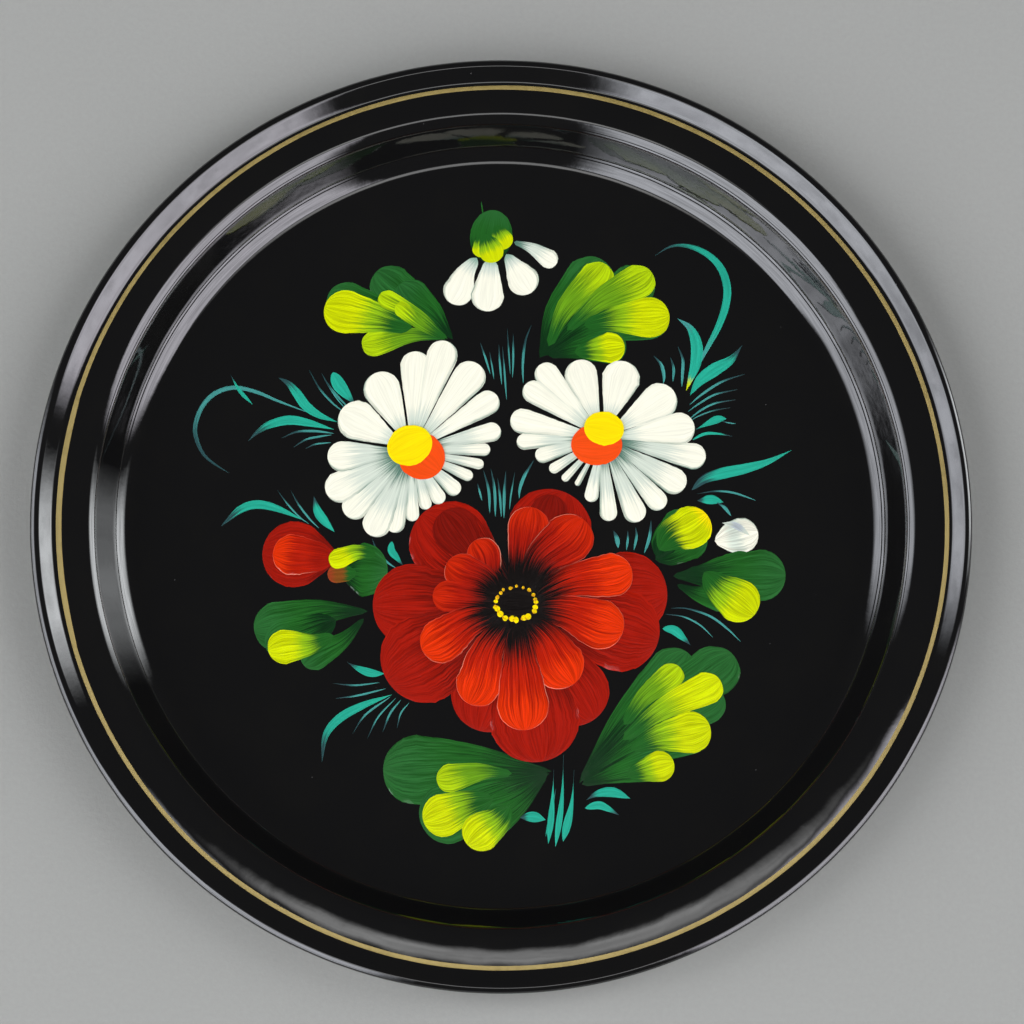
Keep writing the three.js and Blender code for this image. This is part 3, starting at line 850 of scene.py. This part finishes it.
# ------------------------ leaves
# Where each leaf lies, and its strokes as petal() takes them, dark ones first
LEAVES = {"top_left": [
    ((-13, 50.5), (-29.6, 65.2), 5.7, DARK, 0.6, -1.6),
    ((-13.4, 51), (-24, 62), 5, DARK, 0.6, -1),
    ((-24, 53), (-41.6, 60.6), 5.6, DARK, 2, -1),
    ((-14.6, 51), (-34, 49.4), 3.6, MIDDLE, 0.6, -1.4),
    ((-24, 53.6), (-42, 58), 5.9, LIGHT, 2, -0.4),
    ((-14.4, 50.6), (-30.6, 61.4), 2.6, MIDDLE, 0.4, -1),
    ((-15, 50.4), (-26.6, 58.6), 2.2, MIDDLE, 0.4, 0.6),
], "top_right": [
    ((10.6, 45.4), (24, 67), 6.6, DARK, 0.5, 2.4),
    ((11, 45.6), (35.6, 65.2), 6, DARK, 0.6, 2),
    ((11.4, 46), (39.4, 56.6), 6.2, DARK, 0.6, 2),
    ((13, 46), (29.4, 48.6), 4.6, DARK, 0.8, 0.4),
    ((13, 48.6), (26, 67.6), 4.5, MIDDLE, 1, 2),
    ((18, 53), (37, 66.4), 4.8, MIDDLE, 1, 1.6),
    ((22.6, 54.4), (40.2, 56.6), 5.6, LIGHT, 1.6, 0.6),
    ((20, 47), (29.4, 48.2), 4.2, LIGHT, 1.4, 0),
], "left": [
    ((-36.6, -25.6), (-49.6, -35.6), 3.9, DARK, 0.5, 1.2),
    ((-35.6, -23.6), (-59.4, -27.6), 6.6, DARK, 0.5, -1.6),
    ((-44, -26), (-57.4, -31.6), 5.6, DARK, 3, 0),
    ((-44.6, -30.2), (-57.6, -33.2), 4.6, LIGHT, 1.2, 0.8),
], "right_upper": [
    ((41.6, -9.6), (50, -4.4), 5.6, DARK, 2.4, -0.4),
    ((42, -9), (48.4, -1.4), 5.6, DARK, 2.4, 1),
    ((42.6, -7), (50.9, -0.9), 5.8, inks(LEAF, LIME, YELLOW, (0.42, 0.9), 0.13), 3, 1),
], "right_lower": [
    ((47.4, -16.4), (58.6, -20), 3.6, DARK, 0.5, -0.6),
    ((46.4, -14), (64, -13.6), 6.4, DARK, 0.6, 0),
    ((49, -13.6), (69.6, -13.8), 6.9, DARK, 1.6, 0),
    ((54.6, -13), (63.6, -20.6), 5.9, LIGHT, 2.4, -0.6),
], "bottom_right": [
    ((21, -69.5), (46, -39.6), 6.4, DARK, 0.7, 1.6),
    ((24, -66), (57, -39.6), 6.8, DARK, 2, 2.2),
    ((23, -68), (54.4, -48.4), 5.6, DARK, 1.6, 1),
    ((22, -69), (50, -56.4), 5.6, DARK, 1.2, 0.8),
    ((21.6, -69.8), (40.6, -64.6), 4.4, DARK, 0.8, 0.2),
    ((33, -54), (45.4, -41), 3.5, MIDDLE, 1.2, 1.2),
    ((32.6, -58), (54.9, -44.3), 4.4, LIGHT, 1.2, 1.4),
    ((34.6, -60.4), (50.5, -56), 5.6, LIGHT, 1.4, 0.8),
    ((33.6, -67.4), (42.2, -65.1), 4.1, LIGHT, 1.8, 0),
], "bottom_left": [
    ((13.6, -66.4), (-22, -66), 9.2, DARK, 0.5, -1.4),
    ((13, -67), (-13.6, -77.4), 8, DARK, 0.5, -1),
    ((12.4, -67.4), (-4.6, -80), 6.2, DARK, 0.5, 1.2),
    ((3, -67), (-13.2, -68.2), 3.8, MIDDLE, 0.8, -1),
    ((-2, -73.6), (-15, -78), 5.7, LIGHT, 2.4, -0.4),
    ((2.6, -75.6), (-4.9, -82.4), 5.2, LIGHT, 2.4, 0.6),
]}

# ------------------------ turquoise grass and curls
def nodes_of(start, *ends):
    return [f"{start}_{end}" for end in ends]


# Each spray's name, the solids of the frame that it stands for (the finest grass has none), and its
# strokes
SPRAYS = [("left_spray", ["curl_left", *nodes_of("leaf_left_spray", "upper", "lower", "bud")], [
    blade([(-73, 13.7), (-77, 16.2), (-80, 18.8), (-82, 23), (-82.3, 27), (-80.5, 32), (-77, 35.6),
           (-72, 37.1), (-66, 35.9), (-60, 33.4), (-49.5, 29.4)], 0.62, HAIR, 0.42),
    blade([(-73, 40.6), (-70.6, 36.4), (-67, 32.5)], 0.5, GRASS, 0.6),
    blade([(-60, 39.8), (-57.4, 38.3), (-55, 35.5), (-52.6, 32.2), (-49, 29.6), (-44, 27.7)],
          1.3, GRASS, 0.45),
    blade([(-68, 22.5), (-65.5, 25), (-62.2, 27), (-57, 28.2), (-51.6, 27.4), (-45, 25.7)], 1.25, GRASS),
    blade([(-45.4, 41.3), (-43.6, 37.8), (-40.8, 34.3), (-39.2, 32.3)], 1.75, GRASS_BACK, 0.34),
    hair([(-59, 23.3), (-55, 25), (-50, 25.2), (-45, 24.6)], 0.32),
    hair([(-55.8, 20.8), (-52.5, 22.9), (-49, 23.7), (-45.5, 24.2)]),
    hair([(-52.6, 20.4), (-50, 21.6), (-45.7, 22.1)], 0.2),
    hair([(-51.8, 42), (-49, 37), (-45.5, 33), (-41.8, 30)]),
    hair([(-48.4, 41), (-46, 37), (-43, 33.6), (-40.8, 31.4)], 0.3),
    hair([(-47.4, 39), (-44.6, 34.6), (-41.6, 31)], 0.16),
]), ("bud_spray", nodes_of("leaf_bud_spray", "long", "small"), [
    blade([(-75, -0.6), (-70, 3.8), (-65.5, 5.2), (-60, 4.1), (-53, 1)], 1.15, GRASS, 0.45),
    blade([(-50.2, 7.4), (-49.2, 3.5), (-47.2, 0.6), (-44.6, -2.2)], 1.25, GRASS),
    hair([(-60, 9), (-57, 5), (-54, 1.8), (-51.5, 0)], 0.22),
    hair([(-56.4, 9), (-54.5, 5.5), (-51.5, 1.5), (-48.8, -1.2)]),
]), ("daisy_spray", ["leaf_daisy_spray"], [
    hair([(-34.5, -4), (-33, -7.5), (-30.5, -10.3), (-28, -12)], 0.3),
    blade([(-29.2, -4.8), (-29.3, -7.2), (-28, -9), (-26.2, -11.2)], 1.0, GRASS_BACK, 0.36),
]), ("low_spray", nodes_of("leaf_low_spray", "long", "small"), [
    blade([(-47.5, -64), (-46.6, -57), (-43, -52.4), (-37, -49), (-29, -46)], 1.15, GRASS, 0.5),
    blade([(-41, -37.3), (-38, -39), (-34.5, -40.2), (-31, -40.4)], 1.1, GRASS, 0.6),
    hair([(-44.6, -43), (-39, -43.5), (-32.4, -42.8)], 0.22),
    hair([(-44, -47), (-38, -46.2), (-30.6, -44.4)]),
    hair([(-39.4, -56.4), (-36, -51.4), (-29.4, -46.6)]),
    hair([(-35.4, -57.6), (-32.6, -52), (-28, -47)], 0.2),
    hair([(-31.4, -56), (-29.4, -51), (-26.6, -47.4)]),
    hair([(-27.6, -55), (-26.6, -51), (-24.4, -48.2)], 0.2),
]), ("right_spray", ["curl_right", *nodes_of("leaf_right_spray", "tall", "wide", "small")], [
    blade([(42, 73.7), (46, 76.2), (50.5, 76.5), (55.8, 74.4), (59.8, 70.4), (61.5, 65), (61, 59.6),
           (59, 54), (56.4, 49), (54, 44.4), (51.6, 39)],
          1.05, inks(DIM_TEAL, TURQUOISE, TEAL, (0.18, 0.8), 0.1), 0.5),
    blade([(48, 56.3), (51.4, 53.6), (53.1, 49), (52.8, 44), (51.5, 40), (50.2, 36.5)],
          1.6, inks(TEAL, TURQUOISE, LIME, (0.2, 0.88), 0.06), 0.5),
    blade([(65.5, 49), (62.4, 45), (58, 42.3), (54, 39.3), (51.2, 35.2)], 1.75, GRASS, 0.55),
    blade([(51.5, 25.2), (55, 27), (58.5, 28.6), (61, 28.8)], 1.05, GRASS, 0.72),
    hair([(59.6, 28.2), (61.4, 27.7), (63.5, 27.4)], 0.16),
    blade([(51.8, 23), (55, 24.6), (58.5, 24.7), (62.5, 24)], 0.4, GRASS_BACK, 0.35),
    hair([(41.5, 46), (43.5, 43.5), (44.2, 40.5), (44, 38.3)], 0.45),
    hair([(46, 45.6), (46.8, 42.5), (46.6, 39)], 0.36),
    hair([(48, 48.6), (49.3, 45), (49.2, 41), (49, 37.5)], 0.42),
    hair([(66, 41), (60, 39), (54.5, 35.5), (51, 32.5)], 0.32),
    hair([(64, 36.8), (58, 35.4), (53.5, 32.8), (50.6, 30.7)]),
    hair([(63.5, 34), (58, 33), (54, 31), (50.8, 28.5)]),
    hair([(62, 31.8), (57.5, 31), (53.5, 29.5), (51, 28)], 0.16),
]), ("right_low_spray", nodes_of("leaf_right_low", "long", "small"), [
    blade([(51.5, 9.3), (55, 12.3), (60, 13.9), (66, 15.2), (72, 17), (78.5, 20.2)], 1.5, GRASS, 0.36),
    hair([(53, 8.3), (58, 9), (63, 8.5), (68.7, 6.5)]),
    blade([(53, 6.4), (56.8, 6.7), (60, 6)], 1.25, GRASS),
    hair([(58.2, 6), (60.4, 4.4), (62, 2.3)], 0.42),
]), ("flower_spray", ["leaf_flower_spray"], [
    blade([(43.4, -28.2), (46.4, -28.6), (49, -30.8), (50.8, -32.6)], 1.2, GRASS_BACK, 0.38),
    hair([(45.7, -22.7), (50, -22.8), (56, -24.8), (60.5, -28), (64.3, -31.7)], 0.3),
    hair([(44, -24.3), (49, -25), (53.5, -27.3), (56.8, -30.5)], 0.22),
]), ("stems", nodes_of("stem", "left", "middle", "right", "leaf_left", "leaf_upper", "leaf_lower"), [
    blade([(14.2, -66), (13.7, -76), (12.7, -85.6)], 0.85, GRASS, 0.7),
    blade([(16.8, -62), (16.3, -74), (14.6, -86.4)], 0.8, GRASS, 0.72),
    blade([(19.6, -66), (18.9, -75), (16.6, -85)], 1.1, GRASS, 0.76),
    hair([(14.8, -71), (13, -79), (12, -83.6)], 0.3, GRASS),
    blade([(5.2, -78.7), (8.5, -78.5), (12, -79.3)], 1.4, GRASS, 0.5),
    blade([(22.8, -74), (26, -72.3), (30, -72), (34.5, -73.6)], 1.3, GRASS, 0.55),
    blade([(22.5, -76.2), (26, -75.4), (28.5, -76.3), (31.5, -78)], 1.05, GRASS_BACK, 0.38),
]), ("grass_above", [], [
    hair([(-5.5, 49.5), (-4, 45), (-2.8, 41)]), hair([(-3, 47), (-2.3, 43), (-1.8, 39.5)], 0.2),
    hair([(-0.5, 49), (-0.2, 44), (0.3, 38)]), hair([(0.5, 48.4), (1, 42), (1.6, 34)], 0.24),
    hair([(1.8, 53.4), (2.2, 47), (2.6, 41)], 0.2), hair([(3.4, 52), (3.4, 45), (3.2, 40)]),
    hair([(8.3, 54.4), (6.7, 50), (6, 44), (6.1, 38.4)], 0.34),
]), ("grass_below", [], [
    hair([(-6.2, 11), (-5.6, 8.6), (-5, 6.4)]), hair([(-4.6, 14.6), (-3.2, 9), (-2.9, 3)], 0.36),
    hair([(-2.6, 15), (-1.6, 9), (-1.4, 2)], 0.36), hair([(-0.8, 12.4), (-0.2, 8), (0.2, 2)], 0.3),
    hair([(1.4, 14.4), (1, 8), (0.9, 1.6)], 0.4), hair([(3.8, 14), (2.8, 8), (2.4, 4)], 0.2),
    hair([(9, 17.4), (6.4, 13), (5.2, 9.6), (5, 7)], 0.45),
]), ("grass_under_daisy", [], [
    hair([(30.4, -1.8), (31.3, -4), (31.6, -6.4)], 0.6),
    hair([(34.2, -1.8), (34.2, -4), (33.8, -7)], 0.3),
    hair([(36.3, -0.8), (36.5, -3.5), (35.8, -7)], 0.34),
    hair([(40.5, 1), (40.2, -2.5), (39.6, -5), (38.6, -7.8)], 0.44),
])]


# ======================== studio
def camera():
    """Above the tray and a little towards its front, as the photographer stood."""
    target = Vector((3.00, 2.25, 8.0)) * MM
    elevation, azimuth = math.radians(82.0), math.radians(-3.96)
    away = 0.9
    level = math.cos(elevation)
    back = Vector((math.sin(azimuth) * level, -math.cos(azimuth) * level, math.sin(elevation)))
    data = bpy.data.cameras.new("camera")
    data.sensor_width = 36
    data.lens = 118.6
    seat = bpy.data.objects.new("camera", data)
    scene.collection.objects.link(seat)
    right = (-back).cross(Vector((0, 1, 0))).normalized()
    up = right.cross(-back)
    turn = Matrix((right, up, back)).transposed()
    seat.matrix_world = Matrix.Translation(target + back * away) @ turn.to_4x4()
    scene.camera = seat


# The soft surroundings as the lacquer mirrors them. Each patch is (from, to, softness) in degrees round
# the tray, counted clockwise from +X as seen from above, the same in degrees down from the zenith,
# strength, colour, and whether the dark cross bar of a window frame runs through it.
COOL = (0.94, 0.965, 1.04)
MIRRORED = [
    ((107, 158, 5), (21, 95, 2.5), 7.6, COOL, True),
    ((158, 200, 6), (39, 95, 9), 6.4, COOL, True),
    ((7.5, 61, 4), (19.5, 95, 2.5), 7.2, (0.98, 0.955, 1.04), True),
    ((333.5, 355, 6), (50, 95, 9), 10.2, (0.97, 1.0, 1.02), False),
    ((20, 140, 18), (7, 16.5, 2.6), 3.7, (1, 1, 1), False),
]
AMBIENT = 0.09
CROSS_BAR = (71.9, 77.9, 1.2)

# The lamps that light the paint and the card: bearing, half the width in degrees, radiance and colour
LAMPS = [
    (-138, 34, 1.93, (1.0, 1.0, 0.995)),
    (-36, 28, 1.93, (1.0, 0.995, 0.99)),
    (12, 13, 5.3, (1, 1, 1)),
    (176, 15, 4.9, (1, 1, 1)),
]


def soft_panel(bearing, half_spread, radiance, colour, away=1.15, top=2.1):
    """A soft light panel that stands on edge beside the tray, facing it. bearing is its direction in
    degrees from +X, half_spread how far it reaches to each side, in degrees, top its height."""
    width = 2 * away * math.tan(math.radians(half_spread))
    data = bpy.data.lights.new("soft_panel", "AREA")
    data.shape = "RECTANGLE"
    data.size = width
    data.size_y = top
    data.energy = radiance * math.pi * width * top
    data.color = colour
    lamp = bpy.data.objects.new("soft_panel", data)
    scene.collection.objects.link(lamp)
    turn = math.radians(bearing)
    place = Vector((math.cos(turn) * away, math.sin(turn) * away, top / 2 + 0.02))
    lamp.location = place
    lamp.rotation_euler = Vector((-place.x, -place.y, 0)).to_track_quat("-Z", "Y").to_euler()
    lamp.visible_camera = False
    lamp.visible_glossy = False


def surroundings():
    world = bpy.data.worlds.new("surroundings")
    world.use_nodes = True
    n = Nodes(tree=world.node_tree)
    way = n.node("TexCoord").outputs["Generated"]
    east, north, up = n.split(way)
    down = n.times(n.math("ARCCOSINE", up), 180 / math.pi)
    bearing = n.times(n.math("ARCTAN2", n.times(north, -1.0), east), 180 / math.pi)
    bearing = n.math("FLOORED_MODULO", n.math("ADD", bearing, 360.0), 360.0)
    mottle = n.between(n.noise(way, 9.0, 4.0, 0.65), 0.3, 0.7, 0.72, 1.22)

    def window(value, low, high, soft):
        rising = n.between(value, low - soft, low + soft)
        return n.times(rising, n.between(value, high - soft, high + soft, 1.0, 0.0))

    total = n.join(AMBIENT, AMBIENT, AMBIENT * 1.05)
    open_part = n.math("SUBTRACT", 1.0, window(down, *CROSS_BAR))
    for round_, below, strength, colour, barred in MIRRORED:
        share = n.times(window(bearing, *round_), window(down, *below))
        if barred:
            share = n.times(share, open_part)
        share = n.times(share, mottle)
        lit = n.node("VectorMath", {0: [strength * c for c in colour], "Scale": share}, operation="SCALE")
        total = n.node("VectorMath", {0: total, 1: lit.outputs[0]}, operation="ADD").outputs[0]
    n.feed(world.node_tree.nodes["Background"].inputs["Color"], total)
    world.cycles_visibility.diffuse = False
    scene.world = world


def studio():
    surroundings()
    for lamp in LAMPS:
        soft_panel(*lamp)
    size = 1.6
    mesh = bpy.data.meshes.new("floor")
    corners = [(-size, -size, 0), (size, -size, 0), (size, size, 0), (-size, size, 0)]
    mesh.from_pydata(corners, [], [(0, 1, 2, 3)])
    mesh.materials.append(paper_material())
    floor = bpy.data.objects.new("floor", mesh)
    scene.collection.objects.link(floor)
    scene.view_settings.view_transform = "Standard"


# ======================== the tray
camera()
studio()

sheet = sheet_arcs()
tray_shell(sheet, lacquer_material(), back_lacquer_material())
rim_wire(sheet, steel_material())
gold_line(sheet, gold_material())

petal_paint = paint_material("oil_paint_petals", 0.34, 0.14)
white_paint = paint_material("oil_paint_white", 0.1, 0.16)
leaf_paint = paint_material("oil_paint_leaves", 0.36, 0.14)
grass_paint = paint_material("oil_paint_grass", 0.22, 0.18)

for side, rows in LEAVES.items():
    leaf = [petal(*row) for row in rows]
    painted(f"{side}_leaf", leaf, 0.0, leaf_paint, [f"leaf_{side}"])
for spray, nodes, strokes in SPRAYS:
    painted(spray, strokes, 0.0, grass_paint, nodes)
red_flower(petal_paint)
stamens(petal_paint)
for hand, flower in DAISIES.items():
    daisy(hand, flower, white_paint)
half_daisy(white_paint)
buds(petal_paint)
